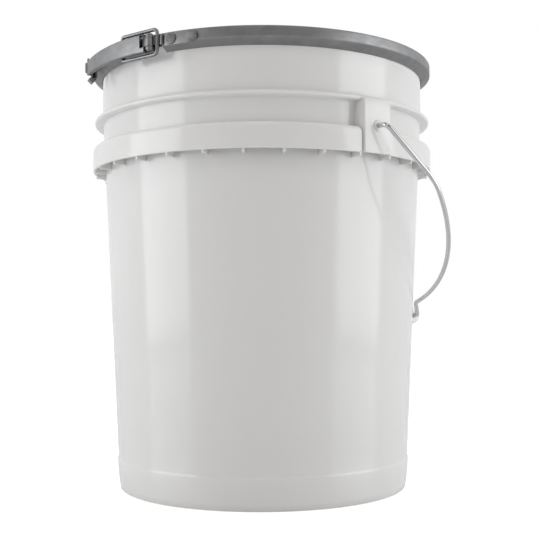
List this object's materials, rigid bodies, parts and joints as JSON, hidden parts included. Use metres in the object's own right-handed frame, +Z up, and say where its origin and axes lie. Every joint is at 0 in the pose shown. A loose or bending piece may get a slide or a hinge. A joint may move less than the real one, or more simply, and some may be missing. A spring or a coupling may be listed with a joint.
{
  "type": "plastic fermenting bucket",
  "caption": "Open-head plastic pail with a gasketed lid, a lever-lock steel clamping ring, a wire bail with a grip, and a grommeted airlock hole.",
  "frame": {"origin": "on the pail's axis, in the plane of the ring it stands on", "axes": "+Z up along the pail's axis; +X through one bail ear, so the bail swings about X; at rest the bail hangs on the +Y side and the ring's latch is on the -Y side"},
  "size_m": [0.3586, 0.3185, 0.3828],
  "materials": {
    "pail_plastic": "smooth, softly glossy, faintly translucent white polyethylene",
    "lid_plastic": "smooth white polyethylene",
    "grip_plastic": "smooth white polyethylene",
    "rubber": "matt black rubber",
    "galvanised_steel": "dull zinc-coated sheet steel with fine grain",
    "rivet_steel": "dull zinc-coated steel, slightly tarnished",
    "link_steel": "dull zinc-coated round wire",
    "bail_steel": "bright drawn and zinc-plated steel wire"
  },
  "bodies": {
    "pail": {"pail_body": "pail_plastic"},
    "bail": {"bail_wire": "bail_steel"},
    "grip": {"bail_grip": "grip_plastic"},
    "lid": {"lid": "lid_plastic", "lid_gasket": "rubber", "airlock_grommet": "rubber"},
    "lock_ring": {"lock_ring_band": "galvanised_steel", "right_hook_bracket": "galvanised_steel", "right_bracket_rivets": "rivet_steel", "left_hinge_bracket": "galvanised_steel", "left_bracket_rivets": "rivet_steel", "lever_pin": "rivet_steel", "seal_hasp": "galvanised_steel", "seal_hasp_rivet": "rivet_steel"},
    "lever": {"lever": "galvanised_steel"},
    "link": {"link_loop": "link_steel"}
  },
  "joints": [
    {"name": "bail_swing", "type": "hinge", "parent": "pail", "child": "bail", "pos_m": [0, 0, 0.3053], "axis": [1, 0, 0], "range_deg": [0, 272]},
    {"name": "grip_spin", "type": "hinge", "parent": "bail", "child": "grip", "pos_m": [0, 0.14551, 0.1525], "axis": [1, 0, 0], "continuous": true},
    {"name": "lid_lift", "type": "slide", "parent": "pail", "child": "lid", "axis": [0, 0, 1], "range_m": [0, 0.15]},
    {"name": "ring_lift", "type": "slide", "parent": "lid", "child": "lock_ring", "axis": [0, 0, 1], "range_m": [0, 0.2], "deforming": ["lock_ring_band"]},
    {"name": "lever_swing", "type": "hinge", "parent": "lock_ring", "child": "lever", "pos_m": [0.0541, -0.15111, 0.37], "axis": [0, 0, 1], "range_deg": [0, 135]},
    {"name": "link_swing", "type": "hinge", "parent": "lever", "child": "link", "pos_m": [0.02157, -0.15743, 0.37], "axis": [0, 0, 1], "range_deg": [-135, 0]}
  ],
  "couplings": [
    {"joint": "link_swing", "follows": "lever_swing", "ratio": -1}
  ]
}
